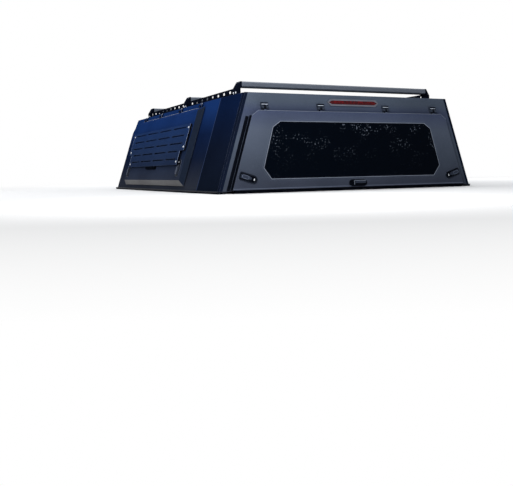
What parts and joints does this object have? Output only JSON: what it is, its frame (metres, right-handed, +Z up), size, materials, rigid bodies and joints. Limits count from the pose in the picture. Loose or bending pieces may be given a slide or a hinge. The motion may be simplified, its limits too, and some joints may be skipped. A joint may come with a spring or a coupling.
{
  "type": "ute canopy",
  "caption": "Steel canopy for a pickup bed, with a lift-up rear door, a lift-up door with a slotted plate in each side, and a roof rack.",
  "frame": {"origin": "centre of the footprint, on the surface that the base seal stands on", "axes": "+X right, +Y towards the cab, +Z up; the rear door faces -Y"},
  "size_m": [1.7446, 2.2421, 0.62],
  "materials": {
    "shell_black": "fine textured powder coat",
    "plate_black": "fine textured powder coat",
    "black_hardware": "satin black coat",
    "bar_metal": "dark anodised",
    "bright_steel": "ground and plated",
    "lock_black": "moulded",
    "rubber": "matt extruded",
    "dark_glass": "dark tinted, polished",
    "lamp_red": "clear moulded",
    "bezel_grey": "satin"
  },
  "bodies": {
    "root": {"base_rim": "black_hardware", "crossbar_feet": "black_hardware", "crossbar_front": "bar_metal", "crossbar_middle": "bar_metal", "crossbar_rear": "bar_metal", "front_glass": "dark_glass", "front_wall": "shell_black", "lamp_bezel": "bezel_grey", "lamp_lens": "lamp_red", "rack_rail_left": "black_hardware", "rack_rail_right": "black_hardware", "rear_door_seal": "rubber", "rear_frame": "shell_black", "rear_hinges": "black_hardware", "rear_strut_brackets": "black_hardware", "rim_seal": "rubber", "roof_panel": "shell_black", "side_door_seal_left": "rubber", "side_door_seal_right": "rubber", "side_hinges_left": "black_hardware", "side_hinges_right": "black_hardware", "side_strut_studs_left": "black_hardware", "side_strut_studs_right": "black_hardware", "side_wall_left": "shell_black", "side_wall_right": "shell_black"},
    "side_door_right": {"side_door_panel_right": "shell_black", "slotted_plate_right": "plate_black", "side_door_catch_right": "lock_black", "side_door_locks_right": "lock_black", "side_door_studs_right": "black_hardware"},
    "side_tubes_right": {"side_strut_tubes_right": "black_hardware"},
    "side_rods_right": {"side_strut_rods_right": "bright_steel"},
    "side_door_left": {"side_door_panel_left": "shell_black", "slotted_plate_left": "plate_black", "side_door_catch_left": "lock_black", "side_door_locks_left": "lock_black", "side_door_studs_left": "black_hardware"},
    "side_tubes_left": {"side_strut_tubes_left": "black_hardware"},
    "side_rods_left": {"side_strut_rods_left": "bright_steel"},
    "rear_door": {"rear_door_panel": "shell_black", "rear_door_glass": "dark_glass", "rear_door_sweep": "rubber", "rear_door_handle": "lock_black", "rear_door_locks": "lock_black", "rear_door_studs": "black_hardware"},
    "rear_tubes": {"rear_strut_tubes": "black_hardware"},
    "rear_rods": {"rear_strut_rods": "bright_steel"}
  },
  "joints": [
    {"name": "side_door_right_hinge", "type": "hinge", "parent": "root", "child": "side_door_right", "pos_m": [0.70767, 0.15725, 0.52411], "axis": [0, -1, 0], "range_deg": [0, 85]},
    {"name": "side_tubes_right_pivot", "type": "hinge", "parent": "root", "child": "side_tubes_right", "pos_m": [0.77218, 0.15725, 0.1987], "axis": [0, 1, 0], "range_deg": [0, 20.11]},
    {"name": "side_rods_right_slide", "type": "slide", "parent": "side_tubes_right", "child": "side_rods_right", "axis": [-0.294, 0, 0.9558], "range_m": [0, 0.0535]},
    {"name": "side_door_left_hinge", "type": "hinge", "parent": "root", "child": "side_door_left", "pos_m": [-0.70767, 0.15725, 0.52411], "axis": [0, 1, 0], "range_deg": [0, 85]},
    {"name": "side_tubes_left_pivot", "type": "hinge", "parent": "root", "child": "side_tubes_left", "pos_m": [-0.77218, 0.15725, 0.1987], "axis": [0, -1, 0], "range_deg": [0, 20.11]},
    {"name": "side_rods_left_slide", "type": "slide", "parent": "side_tubes_left", "child": "side_rods_left", "axis": [0.294, 0, 0.9558], "range_m": [0, 0.0535]},
    {"name": "rear_door_hinge", "type": "hinge", "parent": "root", "child": "rear_door", "pos_m": [0, -1.08142, 0.46221], "axis": [-1, 0, 0], "range_deg": [0, 88]},
    {"name": "rear_tubes_pivot", "type": "hinge", "parent": "root", "child": "rear_tubes", "pos_m": [0, -0.73352, 0.378], "axis": [-1, 0, 0], "range_deg": [0, 23.99]},
    {"name": "rear_rods_slide", "type": "slide", "parent": "rear_tubes", "child": "rear_rods", "axis": [0, -0.9503, -0.3114], "range_m": [0, 0.1987]}
  ],
  "couplings": [
    {"joint": "side_tubes_right_pivot", "follows": "side_door_right_hinge", "ratio": 0.23601},
    {"joint": "side_rods_right_slide", "follows": "side_door_right_hinge", "m_per_rad": 0.035926},
    {"joint": "side_tubes_left_pivot", "follows": "side_door_left_hinge", "ratio": 0.23601},
    {"joint": "side_rods_left_slide", "follows": "side_door_left_hinge", "m_per_rad": 0.035926},
    {"joint": "rear_tubes_pivot", "follows": "rear_door_hinge", "ratio": 0.27204},
    {"joint": "rear_rods_slide", "follows": "rear_door_hinge", "m_per_rad": 0.12924}
  ]
}
